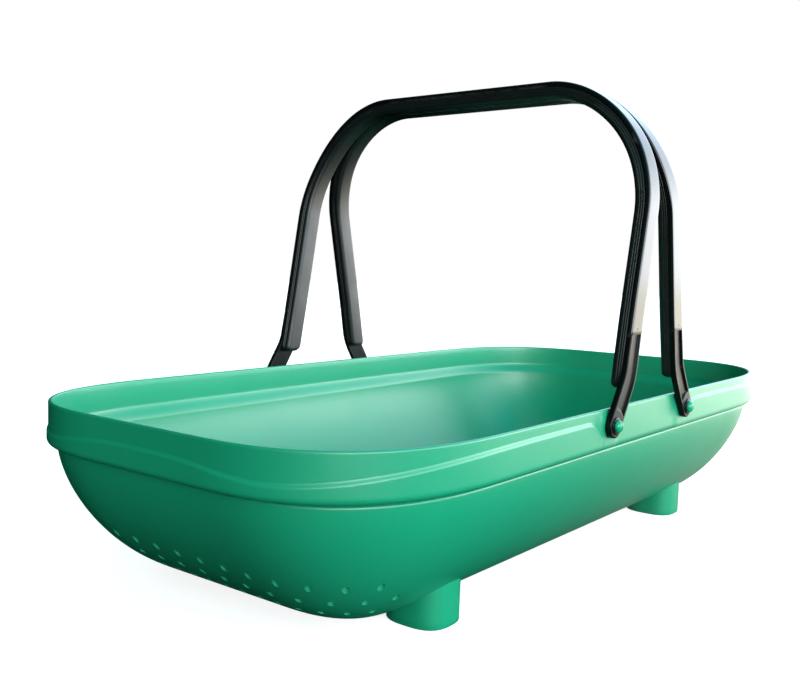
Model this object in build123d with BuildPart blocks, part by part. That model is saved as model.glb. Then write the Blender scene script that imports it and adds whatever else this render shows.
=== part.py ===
from build123d import *
import math
import os

# Oblong carrying tub with two leaning swing handles on four pivot pins. Millimetres.
# Frame: X along the tub, Y across it, Z up. Origin on the ground under the tub's centre.
# Front is -Y, right is +X. All heights are above the ground.

# ---- tub ----
RIM_HALF_LENGTH = 300.0
RIM_HALF_WIDTH = 148.0
RIM_CORNER_X = 125.6      # semi-axis of a rim corner along X
RIM_CORNER_Y = 105.7      # semi-axis of a rim corner along Y
RIM_EXPONENT = 2.635      # superellipse exponent of a rim corner
RIM_TOP = 118.7
BAND_HEIGHT = 26.0        # height of the upright rim band
BAND_LOW = RIM_TOP - BAND_HEIGHT
BAND_SWELL = 0.8          # how far the lower half of the band stands out
WALL = 3.0                # also the thickness of the floor

FLOOR_UNDERSIDE = 9.8
FLOOR_HALF_LENGTH = 214.6
FLOOR_HALF_WIDTH = 75.8
FLOOR_CORNER_X = 20.8
FLOOR_CORNER_Y = 29.8
FLOOR_EXPONENT = 2.686
BODY_HIGH = RIM_TOP - BAND_HEIGHT * 0.98  # top of the body, just inside the band
BODY_HALF_LENGTH = 293.8  # body just under the band
BODY_HALF_WIDTH = 143.4
CORNER_STEP = 9.0         # body corners under the band are this much smaller than the rim's
END_CURVE = 1.652         # how the ends sweep up from the floor
SIDE_CURVE = 1.583        # how the sides sweep up from the floor

FOOT_X = 165.3
FOOT_Y = 86.7
FOOT_LENGTH = 35.4
FOOT_WIDTH = 40.8
FOOT_CORNER = 13.4
FOOT_TOP = 32.0           # inside the body, before it is hollowed
FOOT_WALL = 2.6
FOOT_POCKET = 8.0

HOLE_RADIUS = 2.0
HOLE_CUT_LOW = FLOOR_UNDERSIDE - 2
HOLE_CUT_HEIGHT = 60.0
# rows at the -X end only: height, pitch, place of one hole along the row, end of the row
HOLE_ROWS = [
    (43.4, 18.5, 3.4, 131.0),
    (32.7, 17.6, -5.2, 130.0),
    (22.9, 13.6, 2.6, 108.0),
]

# ---- hinges ----
PIVOT_X = 58.8
PIVOT_Z = 108.3
SHANK_RADIUS = 2.5
PIN_HOLE_DEPTH = 2.0      # blind pin holes, from the rim's half width
PIN_HOLE_CUT = 8.0        # length of the cut, out past the band
SHANK_END_Y = RIM_HALF_WIDTH - PIN_HOLE_DEPTH
SHANK_OVERRUN = 0.6       # the shank runs this far past the boss, into the head
EYE_BORE_RADIUS = 2.56
EYE_BOSS_RADIUS = 5.6
EYE_BOSS_HEIGHT = 0.7
HEAD_GAP = 0.1            # between boss and head
HEAD_RADIUS = 4.1
HEAD_DEPTH = 3.5
HEAD_EDGE = 0.7           # straight edge below the dome
DOME_MID = (HEAD_RADIUS * 0.72, -HEAD_DEPTH * 0.8)
SLOT_WIDTH = 0.8
SLOT_DEPTH = 1.2

# ---- handles ----
BAIL_WIDTH = 15.7
LEG_OUTER_Y = 153.2       # outer face of a handle leg beside the rim
FRAME_DEPTH = 3.8         # channel frame and cover together
COVER_DEPTH = 1.4
GRIP_DEPTH = 7.4
FIT_GAP = 0.06            # between the pieces of a handle
# centre line of the right handle seen from the front: upright top, leaning leg, knee
TOP_X = BAIL_WIDTH / 2 + 0.12
TOP_OVERRUN = 8.0         # the centre line starts this far above the handle
BEND_Z = 299.0
BEND_RADIUS = 262.0
KNEE_X = 39.9
KNEE_Z = 136.9
KNEE_RADIUS = 35.0
LEAN = (KNEE_X - TOP_X) / (BEND_Z - KNEE_Z)
# outline seen from the end
LEG_CUT_Z = 90.0          # start of the leg bars, below the eyes
STRAIGHT_Z = 172.0        # the legs are straight up to here
SHOULDER_START_Z = 242.5
SHOULDER_Y = 154.0
TOP_HALF_FLAT = 72.0
TOP_Z = 332.6
SHOULDER_EXPONENT = 1.92
COVER_END_Z = 163.9       # the cover stops here
GRIP_END_Z = 130.3
GRIP_END_RADIUS = 5.0
GRIP_OVERRUN = 20.0       # the grip's centre line runs straight on this far below the knee
CHANNEL_WIDTH = 12.2
CHANNEL_STOP = 11.0       # distance from the pivot at which the channel ends
CHANNEL_DEPTH = 1.5

# view planes stand outside the handle, and the extrusions from them pass right through it
VIEW_Y = 180.0
VIEW_X = -20.0
END_VIEW_DEPTH = 110.0
END_VIEW = Plane.YZ.offset(VIEW_X)       # draws in (y, z), extrudes to +X
FRONT_VIEW = Plane.XZ.offset(-VIEW_Y)    # draws in (x, z), extrudes to -Y
BORE_CUT_Y = LEG_OUTER_Y + 4


# ---------------------------------------------------------------- tub outlines
def superellipse(i, steps, exponent):
    """Point i of a unit quarter superellipse, running from (1, 0) to (0, 1)."""
    t = math.pi / 2 * i / steps
    return max(math.cos(t), 0.0) ** (2 / exponent), max(math.sin(t), 0.0) ** (2 / exponent)


def corner(half_x, half_y, corner_x, corner_y, exponent, steps):
    """Points of the +X +Y corner of a rounded oblong."""
    points = []
    for i in range(steps + 1):
        x, y = superellipse(i, steps, exponent)
        points.append((half_x - corner_x + corner_x * x, half_y - corner_y + corner_y * y))
    return points


def ring(half_x, half_y, corner_x, corner_y, exponent):
    """Points of one closed rounded-oblong outline with superelliptic corners."""
    quarter = corner(half_x, half_y, corner_x, corner_y, exponent, 10)
    flat_x = half_x - corner_x
    flat_y = half_y - corner_y
    half = list(quarter)
    half += [(flat_x * (1 - k / 3), half_y) for k in range(1, 6)]
    half += [(-x, y) for x, y in reversed(quarter)]
    half += [(-half_x, flat_y * (1 - 2 * k / 3)) for k in range(1, 3)]
    return half + [(-x, -y) for x, y in half]


def body_section(height, inset=0.0):
    """Arguments of ring() for the body at a height; inset moves the walls in and the floor up."""
    low = FLOOR_UNDERSIDE + inset
    t = min(max((height - low) / (BODY_HIGH - low), 0.0), 1.0)
    end = (1 - (1 - t) ** END_CURVE) ** (1 / END_CURVE)
    side = (1 - (1 - t) ** SIDE_CURVE) ** (1 / SIDE_CURVE)
    return (
        FLOOR_HALF_LENGTH + (BODY_HALF_LENGTH - FLOOR_HALF_LENGTH) * end - inset,
        FLOOR_HALF_WIDTH + (BODY_HALF_WIDTH - FLOOR_HALF_WIDTH) * side - inset,
        FLOOR_CORNER_X + (RIM_CORNER_X - CORNER_STEP - FLOOR_CORNER_X) * end - inset * 0.5,
        FLOOR_CORNER_Y + (RIM_CORNER_Y - CORNER_STEP - FLOOR_CORNER_Y) * side - inset * 0.5,
        FLOOR_EXPONENT + (RIM_EXPONENT - FLOOR_EXPONENT) * end,
    )


def band_section(offset):
    """Arguments of ring() for the rim outline moved outwards by offset."""
    return (
        RIM_HALF_LENGTH + offset,
        RIM_HALF_WIDTH + offset,
        RIM_CORNER_X + offset,
        RIM_CORNER_Y + offset,
        RIM_EXPONENT,
    )


def body_stack(inset):
    """Levels and sections of the body's outer surface, or of its hollow, from the floor up."""
    low = FLOOR_UNDERSIDE + inset
    levels = [low + t * (BODY_HIGH - low) for t in BODY_LEVELS]
    return [(level, body_section(level, inset)) for level in levels]


def band_stack(profile):
    return [(level, band_section(offset)) for level, offset in profile]


# fractions of the body's height at which its sections lie
BODY_LEVELS = [0.0, 0.004, 0.015, 0.035, 0.07, 0.12, 0.18, 0.26, 0.36, 0.48, 0.62, 0.78, 1.0]
# height, offset from the rim outline: rolled lower lip, swell, upright top
BAND_OUTSIDE = [
    (BAND_LOW, -4.0),
    (BAND_LOW + 0.8, -2.2),
    (BAND_LOW + 2.3, -0.7),
    (BAND_LOW + 4.3, 0.2),
    (BAND_LOW + 6.0, BAND_SWELL * 0.8),
    (BAND_LOW + 10.0, BAND_SWELL),
    (BAND_LOW + 15.5, BAND_SWELL),
    (BAND_LOW + 17.6, 0.0),
    (RIM_TOP - 0.8, 0.0),
    (RIM_TOP, -0.6),
]
# height, offset from the rim outline: sloping shoulder above the body, then upright
BAND_INSIDE = [
    (BODY_HIGH + 1.6, -6.4),
    (BODY_HIGH + 4.2, -4.4),
    (BODY_HIGH + 6.6, -3.2),
    (RIM_TOP - 0.8, -WALL),
    (RIM_TOP + 0.5, -WALL + 0.8),
]


def hole_places():
    """Drain holes in rows round the -X end of the tub, as (x, y) of vertical bores."""
    places = []
    step = 0.5
    for height, pitch, first, reach in HOLE_ROWS:
        # walk from the middle of the end out to each side and step off equal distances
        section = body_section(height)
        half_x, half_y, _, corner_y, _ = section
        walk = [(half_x, k * step) for k in range(int((half_y - corner_y) / step) + 1)]
        walk += corner(*section, 360)
        for side in (-1, 1):
            wanted = [first * side + k * pitch for k in range(-1, 12)]
            wanted = [distance for distance in wanted if 0 < distance < reach]
            walked, previous = 0.0, walk[0]
            for point in walk:
                walked += math.dist(point, previous)
                previous = point
                while wanted and walked >= wanted[0]:
                    places.append((-point[0], side * point[1]))
                    wanted.pop(0)
    return places


def make_tub():
    foot_places = [(FOOT_X * sx, FOOT_Y * sy) for sy in (1, -1) for sx in (1, -1)]
    with BuildPart() as tub:
        # swept-up body, then the upright rim band
        for stack in (body_stack(0.0), band_stack(BAND_OUTSIDE)):
            for level, section in stack:
                with BuildSketch(Plane.XY.offset(level)):
                    with BuildLine():
                        Spline(*ring(*section), periodic=True)
                    make_face()
            loft(ruled=True)
        # four short feet
        with BuildSketch(Plane.XY):
            with Locations(*foot_places):
                RectangleRounded(FOOT_LENGTH, FOOT_WIDTH, FOOT_CORNER)
        extrude(amount=FOOT_TOP)
        # hollow of the body, then the inside of the band
        band_hollow = [(BODY_HIGH, body_section(BODY_HIGH, WALL))] + band_stack(BAND_INSIDE)
        for stack in (body_stack(WALL), band_hollow):
            for level, section in stack:
                with BuildSketch(Plane.XY.offset(level)):
                    with BuildLine():
                        Spline(*ring(*section), periodic=True)
                    make_face()
            loft(ruled=True, mode=Mode.SUBTRACT)
        # feet are open underneath, with a cross web
        with BuildSketch(Plane.XY):
            with Locations(*foot_places):
                RectangleRounded(
                    FOOT_LENGTH - 2 * FOOT_WALL,
                    FOOT_WIDTH - 2 * FOOT_WALL,
                    FOOT_CORNER - FOOT_WALL,
                )
                Rectangle(FOOT_WALL, FOOT_WIDTH, mode=Mode.SUBTRACT)
                Rectangle(FOOT_LENGTH, FOOT_WALL, mode=Mode.SUBTRACT)
        extrude(amount=FOOT_POCKET, mode=Mode.SUBTRACT)
        # drain holes
        with BuildSketch(Plane.XY.offset(HOLE_CUT_LOW)):
            with Locations(*hole_places()):
                Circle(HOLE_RADIUS)
        extrude(amount=HOLE_CUT_HEIGHT, mode=Mode.SUBTRACT)
        # blind holes in the outside of the rim band for the four pivot pins
        for side in (1, -1):
            with BuildSketch(Plane.XZ.offset(-side * SHANK_END_Y)):
                with Locations((PIVOT_X, PIVOT_Z), (-PIVOT_X, PIVOT_Z)):
                    Circle(SHANK_RADIUS)
            extrude(amount=-side * PIN_HOLE_CUT, mode=Mode.SUBTRACT)
    return tub.part


# ---------------------------------------------------------------- handle outline, end view
def half_outline():
    """Outer outline of the +Y half of the arch in (y, z), straight leg to middle of the top."""
    rise_steps = 7
    shoulder_steps = 24
    points = []
    for i in range(rise_steps):
        grow = i / rise_steps
        points.append(
            (
                LEG_OUTER_Y + (SHOULDER_Y - LEG_OUTER_Y) * grow,
                STRAIGHT_Z + (SHOULDER_START_Z - STRAIGHT_Z) * grow,
            )
        )
    for i in range(shoulder_steps + 1):
        y, z = superellipse(i, shoulder_steps, SHOULDER_EXPONENT)
        points.append(
            (
                TOP_HALF_FLAT + (SHOULDER_Y - TOP_HALF_FLAT) * y,
                SHOULDER_START_Z + (TOP_Z - SHOULDER_START_Z) * z,
            )
        )
    points += [(TOP_HALF_FLAT * (1 - k / 3), TOP_Z) for k in range(1, 4)]
    return points


def arch(depth):
    """The curved part of the arch, leg to leg, at a depth below the outer face."""
    points = half_outline()
    last = len(points) - 1
    moved = []
    for i, (y, z) in enumerate(points):
        if i == 0:
            dy, dz = 0.0, 1.0
        elif i == last:
            dy, dz = -1.0, 0.0
        else:
            dy, dz = unit(points[i - 1], points[i + 1])
        moved.append((y - depth * dz, z + depth * dy))
    return [(-y, z) for y, z in moved] + moved[-2::-1]


def draw_arch_layer(start_z, outer_depth, inner_depth):
    """Draws one layer of the arch between two depths, ending square at start_z."""
    for depth in (outer_depth, inner_depth):
        y = LEG_OUTER_Y - depth
        Line((-y, start_z), (-y, STRAIGHT_Z))
        Spline(*arch(depth), tangents=[(0, 1), (0, -1)])
        Line((y, STRAIGHT_Z), (y, start_z))
    outer_y = LEG_OUTER_Y - outer_depth
    inner_y = LEG_OUTER_Y - inner_depth
    for side in (-1, 1):
        Line((side * outer_y, start_z), (side * inner_y, start_z))


# ---------------------------------------------------------------- handle outline, front view
def unit(start, end):
    """Direction from start to end in the drawing plane."""
    dx, dy = end[0] - start[0], end[1] - start[1]
    length = math.hypot(dx, dy)
    return dx / length, dy / length


def draw_side(centre_line, offset):
    """Draws one long edge of a strip, offset to the left of its centre line. Returns its ends.

    centre_line holds (x, z, radius) for each vertex.
    """

    def beside(point, run):
        return point[0] - run[1] * offset, point[1] + run[0] * offset

    run = unit(centre_line[0], centre_line[1])
    start = here = beside(centre_line[0], run)
    for (x, z, radius), following in zip(centre_line[1:], centre_line[2:]):
        next_run = unit((x, z), following)
        turn = run[0] * next_run[1] - run[1] * next_run[0]
        sign = 1 if turn > 0 else -1
        cut = radius * math.tan(math.asin(abs(turn)) / 2)
        bend_in = (x - run[0] * cut, z - run[1] * cut)
        bend_out = (x + next_run[0] * cut, z + next_run[1] * cut)
        centre = (bend_in[0] - run[1] * radius * sign, bend_in[1] + run[0] * radius * sign)
        to_mid = unit(centre, (x, z))
        side_radius = radius - offset * sign
        arc_start = beside(bend_in, run)
        arc_mid = (centre[0] + to_mid[0] * side_radius, centre[1] + to_mid[1] * side_radius)
        arc_end = beside(bend_out, next_run)
        Line(here, arc_start)
        ThreePointArc(arc_start, arc_mid, arc_end)
        here, run = arc_end, next_run
    end = beside(centre_line[-1], run)
    Line(here, end)
    return start, end


def draw_strip(centre_line, width, tip=None):
    """Draws a closed strip along a centre line; its far end is square, or round through tip."""
    left_start, left_end = draw_side(centre_line, width / 2)
    right_start, right_end = draw_side(centre_line, -width / 2)
    Line(left_start, right_start)
    if tip is None:
        Line(left_end, right_end)
    else:
        ThreePointArc(left_end, tip, right_end)


def lean_point(z):
    """Vertex on the line of the leaning leg, or straight on below the knee."""
    return KNEE_X - (z - KNEE_Z) * LEAN, z, 0


TOP_POINT = (TOP_X, TOP_Z + TOP_OVERRUN, 0)
BEND_POINT = (TOP_X, BEND_Z, BEND_RADIUS)
KNEE_POINT = (KNEE_X, KNEE_Z, KNEE_RADIUS)
PIVOT_POINT = (PIVOT_X, PIVOT_Z, 0)
LEG_RUN = unit(KNEE_POINT, PIVOT_POINT)


def from_pivot(distance):
    """Point on the line of the lower leg, at a distance past the pivot."""
    return PIVOT_X + LEG_RUN[0] * distance, PIVOT_Z + LEG_RUN[1] * distance


# ---------------------------------------------------------------- right handle
def make_frame():
    """Channelled frame with an eye at the foot of each leg."""
    bar_y = LEG_OUTER_Y - FRAME_DEPTH / 2
    bar_z = (COVER_END_Z + LEG_CUT_Z) / 2
    with BuildPart() as frame:
        # arch above the end of the cover strip, and the full-depth lower legs
        with BuildSketch(END_VIEW):
            with BuildLine():
                draw_arch_layer(COVER_END_Z, COVER_DEPTH, FRAME_DEPTH)
            make_face()
            with Locations((bar_y, bar_z), (-bar_y, bar_z)):
                Rectangle(FRAME_DEPTH, COVER_END_Z - LEG_CUT_Z)
        extrude(amount=END_VIEW_DEPTH)
        # seen from the front: a strip along the bent centre line, rounded round the eye
        with BuildSketch(FRONT_VIEW):
            with BuildLine():
                draw_strip(
                    [TOP_POINT, BEND_POINT, KNEE_POINT, PIVOT_POINT],
                    BAIL_WIDTH,
                    tip=from_pivot(BAIL_WIDTH / 2),
                )
            make_face()
        extrude(amount=2 * VIEW_Y, mode=Mode.INTERSECT)
        for side in (1, -1):
            outer_face = Plane.XZ.offset(-side * LEG_OUTER_Y)
            # raised boss round the eye
            with BuildSketch(outer_face):
                with Locations((PIVOT_X, PIVOT_Z)):
                    Circle(EYE_BOSS_RADIUS)
            extrude(amount=-side * EYE_BOSS_HEIGHT)
            # shallow channel down the outer face of the lower leg
            channel_end = (*from_pivot(-CHANNEL_STOP), 0)
            with BuildSketch(outer_face):
                with BuildLine():
                    draw_strip([lean_point(COVER_END_Z), KNEE_POINT, channel_end], CHANNEL_WIDTH)
                make_face()
            extrude(amount=side * CHANNEL_DEPTH, mode=Mode.SUBTRACT)
        # bores of the two eyes
        with BuildSketch(Plane.XZ.offset(BORE_CUT_Y)):
            with Locations((PIVOT_X, PIVOT_Z)):
                Circle(EYE_BORE_RADIUS)
        extrude(amount=-2 * BORE_CUT_Y, mode=Mode.SUBTRACT)
    return frame.part


def make_cover():
    """Smooth strip laid over the arch's outer face, cut square above each knee."""
    with BuildPart() as cover:
        with BuildSketch(END_VIEW):
            with BuildLine():
                draw_arch_layer(COVER_END_Z + FIT_GAP, 0.0, COVER_DEPTH - FIT_GAP)
            make_face()
        extrude(amount=END_VIEW_DEPTH)
        with BuildSketch(FRONT_VIEW):
            with BuildLine():
                draw_strip([TOP_POINT, BEND_POINT, KNEE_POINT], BAIL_WIDTH)
            make_face()
        extrude(amount=2 * VIEW_Y, mode=Mode.INTERSECT)
    return cover.part


def make_grip():
    """Inner grip pad, running straight on past the knee of each leg and ending round."""
    with BuildPart() as grip:
        with BuildSketch(END_VIEW):
            with BuildLine():
                draw_arch_layer(GRIP_END_Z, FRAME_DEPTH + FIT_GAP, FRAME_DEPTH + GRIP_DEPTH)
            make_face()
        extrude(amount=END_VIEW_DEPTH)
        with BuildSketch(FRONT_VIEW):
            with BuildLine():
                draw_strip(
                    [TOP_POINT, BEND_POINT, lean_point(KNEE_Z - GRIP_OVERRUN)], BAIL_WIDTH
                )
            make_face()
        extrude(amount=2 * VIEW_Y, mode=Mode.INTERSECT)
        end_edges = grip.edges().filter_by(Axis.Y).group_by(Axis.Z)[0]
        fillet(end_edges, radius=GRIP_END_RADIUS)
    return grip.part


# ---------------------------------------------------------------- pivot pin
def make_pin():
    """Right front pin: shank in the rim band, domed head outside the eye, upright slot."""
    head_y = LEG_OUTER_Y + EYE_BOSS_HEIGHT + HEAD_GAP
    with BuildPart() as pin:
        with BuildSketch(Plane.XZ.offset(SHANK_END_Y)):
            with Locations((PIVOT_X, PIVOT_Z)):
                Circle(SHANK_RADIUS)
        extrude(amount=LEG_OUTER_Y + EYE_BOSS_HEIGHT + SHANK_OVERRUN - SHANK_END_Y)
        # half profile of the head, drawn in (x, y) at the height of the pivot
        with BuildSketch(Plane.XY.move(Location((PIVOT_X, -head_y, PIVOT_Z)))):
            with BuildLine():
                Polyline((0, 0), (HEAD_RADIUS, 0), (HEAD_RADIUS, -HEAD_EDGE))
                ThreePointArc((HEAD_RADIUS, -HEAD_EDGE), DOME_MID, (0, -HEAD_DEPTH))
                Line((0, -HEAD_DEPTH), (0, 0))
            make_face()
        revolve(axis=Axis((PIVOT_X, 0, PIVOT_Z), (0, 1, 0)))
        with BuildSketch(Plane.XZ.offset(head_y + HEAD_DEPTH - SLOT_DEPTH)):
            with Locations((PIVOT_X, PIVOT_Z)):
                Rectangle(SLOT_WIDTH, 3 * HEAD_RADIUS)
        extrude(amount=HEAD_DEPTH, mode=Mode.SUBTRACT)
    return pin.part


def mirrored(part, plane):
    with BuildPart() as image:
        add(mirror(part, about=plane, mode=Mode.PRIVATE))
    return image.part


# ---------------------------------------------------------------- pieces and files
pin = make_pin()
right_pieces = {
    "bail_frame": make_frame(),
    "bail_cover": make_cover(),
    "bail_grip": make_grip(),
    "front": pin,
    "rear": mirrored(pin, Plane.XZ),
}
pieces = {"tub": make_tub()}
for name, part in right_pieces.items():
    pattern = "{}_" + name if name.startswith("bail") else "pin_{}_" + name
    pieces[pattern.format("right")] = part
    pieces[pattern.format("left")] = mirrored(part, Plane.YZ)

os.makedirs("parts", exist_ok=True)
for name, part in pieces.items():
    part.label = name
    export_step(part, f"parts/{name}.step")
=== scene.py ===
# Green plastic tub on four feet, with two black swing handles.
# The tub is long in X and stands on Z = 0. Left is -X, right is +X, front is -Y, rear is +Y.
# Each handle arches across Y and hinges on two pins, one on the front and one on the rear side.
# Shapes are worked out in mm and turned to metres as each mesh is made.
import bpy, bmesh, math
import numpy as np
from mathutils import Vector, Matrix


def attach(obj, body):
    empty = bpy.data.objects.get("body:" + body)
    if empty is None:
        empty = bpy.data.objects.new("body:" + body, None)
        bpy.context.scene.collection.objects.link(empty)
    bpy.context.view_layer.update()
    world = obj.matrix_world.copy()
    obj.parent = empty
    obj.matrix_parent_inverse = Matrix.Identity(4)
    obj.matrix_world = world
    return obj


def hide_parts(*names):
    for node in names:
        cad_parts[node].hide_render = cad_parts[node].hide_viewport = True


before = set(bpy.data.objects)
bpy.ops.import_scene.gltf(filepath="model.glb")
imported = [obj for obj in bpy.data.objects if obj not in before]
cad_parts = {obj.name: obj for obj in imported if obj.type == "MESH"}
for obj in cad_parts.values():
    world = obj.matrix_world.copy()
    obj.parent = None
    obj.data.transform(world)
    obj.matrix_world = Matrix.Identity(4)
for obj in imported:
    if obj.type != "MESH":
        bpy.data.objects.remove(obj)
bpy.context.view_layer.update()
MM = 0.001
SIGNS = (-1, 1)

# ------------------------------------------------------------------ tub dimensions (mm)
# Outlines are rounded rectangles: half length, half width, reach of the corner
# along X and Y, and the corner's superellipse power.
RIM_X, RIM_Y = 300.0, 148.0
RIM_CORNER_X, RIM_CORNER_Y, RIM_POWER = 125.6, 105.7, 2.635
FLOOR_X, FLOOR_Y = 214.6, 75.8
FLOOR_CORNER_X, FLOOR_CORNER_Y, FLOOR_POWER = 20.8, 29.8, 2.686
BODY_X, BODY_Y = 293.8, 143.4               # top of the body, below the rim band
BODY_CORNER_CUT = 9                         # body corners are this much shorter than the rim's
END_BULGE, SIDE_BULGE = 1.652, 1.583        # curve powers of the wall seen from side and end

FLOOR_Z = 9.8                               # underside of the floor
RIM_Z = 118.7
BAND = 26.0                                 # height of the rim band
BAND_LOW = RIM_Z - BAND
BODY_HIGH = RIM_Z - BAND * 0.98
SHELL = 2.6                                 # wall thickness
BAND_INSET = 2.8                            # inside of the band, in from the rim outline
RIM_EDGE_H = 1.1                            # height of the rounded rim edge
LIP_R, LIP_DEPTH, LIP_H = 3.6, 3.2, 4.4     # rolled lower lip of the band

SWELL = 0.95                                # outward step of the lower part of the band
SWELL_START, SWELL_STOP = 88.0, 67.0        # |x| over which the swell runs out by a hinge
PAD_RISE = 1.15                             # raised pad of the band behind a hinge eye

FOOT_X, FOOT_Y = 165.3, 86.7                # centre of a foot
FOOT_HALF_X, FOOT_HALF_Y = 35.4 / 2, 40.8 / 2
FOOT_POWER = 2.77
FOOT_WALL, WEB_HALF, POCKET_TOP = 2.6, 1.3, 7.0

HOLE_R = 2.0
# height, pitch round the wall, offset of the row from the end's middle, furthest reach
HOLE_ROWS = [(43.4, 18.5, 3.4, 131.0), (32.7, 17.6, -5.2, 130.0), (22.9, 13.6, 2.6, 108.0)]

# ------------------------------------------------------------------ handle dimensions (mm)
PIVOT_X, PIVOT_Z = 58.8, 108.3
PIN_R, PIN_TIP_Y = 2.5, 146.0
HALF_W = 7.8                                # half width of a handle strap
LEG_Y = 153.2                               # outer face of the legs
FRAME_D, COVER_D, GRIP_D = 3.8, 1.4, 11.2   # depth of each layer's far face from the outer face
UPRIGHT_X, BEND_Z, BEND_R = 7.97, 299.0, 262.0
KNEE_X, KNEE_Z, KNEE_R = 39.9, 136.9, 35.0
LEAN = (KNEE_X - UPRIGHT_X) / (BEND_Z - KNEE_Z)
LEG_TOP_Z = 172.0                           # the legs are straight up to here
SHOULDER_Y, SHOULDER_Z = 154.0, 242.5
ARCH_FLAT, ARCH_Z, ARCH_POWER = 72.0, 332.6, 1.92
COVER_Z, GRIP_Z = 163.9, 130.3              # lower ends of cover and grip
EYE_BOSS_R, EYE_BOSS_RISE = 5.6, 0.7


# ------------------------------------------------------------------ curve helpers
def smooth(t):
    t = np.clip(t, 0.0, 1.0)
    return t * t * (3 - 2 * t)


def run_along(points):
    """Distance walked along a line of points, at each point."""
    return np.concatenate([[0], np.cumsum(np.hypot(*np.diff(points, axis=0).T))])


def even_steps(points, count):
    """The same line, resampled to a number of equal steps."""
    run = run_along(points)
    want = np.linspace(0, run[-1], count + 1)
    return list(zip(np.interp(want, run, points[:, 0]), np.interp(want, run, points[:, 1])))


def corner_arc(half_x, half_y, corner_x, corner_y, power, steps):
    """Superellipse corner from the +X flat round to the +Y flat."""
    angle = np.linspace(0, math.pi / 2, steps + 1)
    cos = np.maximum(np.cos(angle), 0) ** (2 / power)
    sin = np.maximum(np.sin(angle), 0) ** (2 / power)
    return np.stack([half_x - corner_x + corner_x * cos, half_y - corner_y + corner_y * sin], 1)


def y_circle(x, z, radius, y, count):
    """Ring round an axis that lies along Y."""
    angles = [2 * math.pi * k / count for k in range(count)]
    return [(x + radius * math.cos(a), y, z + radius * math.sin(a)) for a in angles]


# ------------------------------------------------------------------ mesh helpers
def new_object(name, mesh):
    ob = bpy.data.objects.new(name, mesh)
    bpy.context.scene.collection.objects.link(ob)
    for face in mesh.polygons:
        face.use_smooth = True
    return ob


def make_obj(name, verts, faces):
    """Smooth-shaded object from vertices in mm, with its normals facing out."""
    mesh = bpy.data.meshes.new(name)
    mesh.from_pydata((np.array(verts) * MM).tolist(), [], faces)
    mesh.update()
    ob = new_object(name, mesh)
    bm = bmesh.new()
    bm.from_mesh(mesh)
    bmesh.ops.recalc_face_normals(bm, faces=bm.faces[:])
    bm.to_mesh(mesh)
    bm.free()
    mesh.update()
    return ob


def skin(name, rings):
    """Closed object over a stack of rings with equal counts; the ends are n-gons."""
    count = len(rings[0])
    verts = np.vstack(rings)
    faces = []
    for low in range(0, len(verts) - count, count):
        high = low + count
        for k in range(count):
            k2 = (k + 1) % count
            faces.append((low + k, low + k2, high + k2, high + k))
    faces.append(tuple(reversed(range(count))))
    faces.append(tuple(range(len(verts) - count, len(verts))))
    return make_obj(name, verts, faces)


def mark_sharp(ob, degrees):
    bm = bmesh.new()
    bm.from_mesh(ob.data)
    limit = math.radians(degrees)
    for edge in bm.edges:
        edge.smooth = len(edge.link_faces) == 2 and edge.calc_face_angle(0.0) < limit
    bm.to_mesh(ob.data)
    bm.free()
    ob.data.update()


def boolean(ob, tool, operation):
    """Applies the boolean and removes the tool."""
    mod = ob.modifiers.new("b", "BOOLEAN")
    mod.operation = operation
    mod.object = tool
    mod.solver = "MANIFOLD"
    graph = bpy.context.evaluated_depsgraph_get()
    mesh = bpy.data.meshes.new_from_object(ob.evaluated_get(graph))
    ob.modifiers.clear()
    old = ob.data
    ob.data = mesh
    bpy.data.meshes.remove(old)
    bpy.data.objects.remove(tool)


def join(objs):
    bm = bmesh.new()
    for ob in objs:
        bm.from_mesh(ob.data)
    mesh = bpy.data.meshes.new("joined")
    bm.to_mesh(mesh)
    bm.free()
    for ob in objs:
        bpy.data.objects.remove(ob)
    return new_object("joined", mesh)


# ------------------------------------------------------------------ tub outlines
END_STEPS, CORNER_STEPS, SIDE_STEPS = 8, 40, 64


def make_side_stations():
    """Fractions of the half side, from its corner to its middle, bunched round the hinge."""
    bunch_x, bunch_width, bunch_gain = 66, 22.0, 3.2
    along = np.linspace(0, 1, 2001)
    x = (RIM_X - RIM_CORNER_X) * (1 - along)
    density = 1.0 + bunch_gain * np.exp(-((x - bunch_x) / bunch_width) ** 2)
    total = np.concatenate([[0], np.cumsum((density[1:] + density[:-1]) / 2)])
    total /= total[-1]
    return 1 - np.interp(np.linspace(0, 1, SIDE_STEPS + 1), total, along)


SIDE_STATIONS = make_side_stations()


def quarter_ring(half_x, half_y, corner_x, corner_y, power):
    """(x, y) from the middle of the +X end round to the middle of the +Y side."""
    end = [(half_x, (half_y - corner_y) * k / END_STEPS) for k in range(END_STEPS)]
    fine = corner_arc(half_x, half_y, corner_x, corner_y, power, 699)
    side = [((half_x - corner_x) * f, half_y) for f in SIDE_STATIONS[1:]]
    return np.array(end + even_steps(fine, CORNER_STEPS) + side)


def full_ring(quarter):
    """Closed ring from a quarter, counter-clockwise from the middle of the +X end."""
    turns = (((1, 1), 1), ((-1, 1), -1), ((-1, -1), 1), ((1, -1), -1))
    return np.concatenate([(quarter * signs)[::step][:-1] for signs, step in turns])


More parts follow.
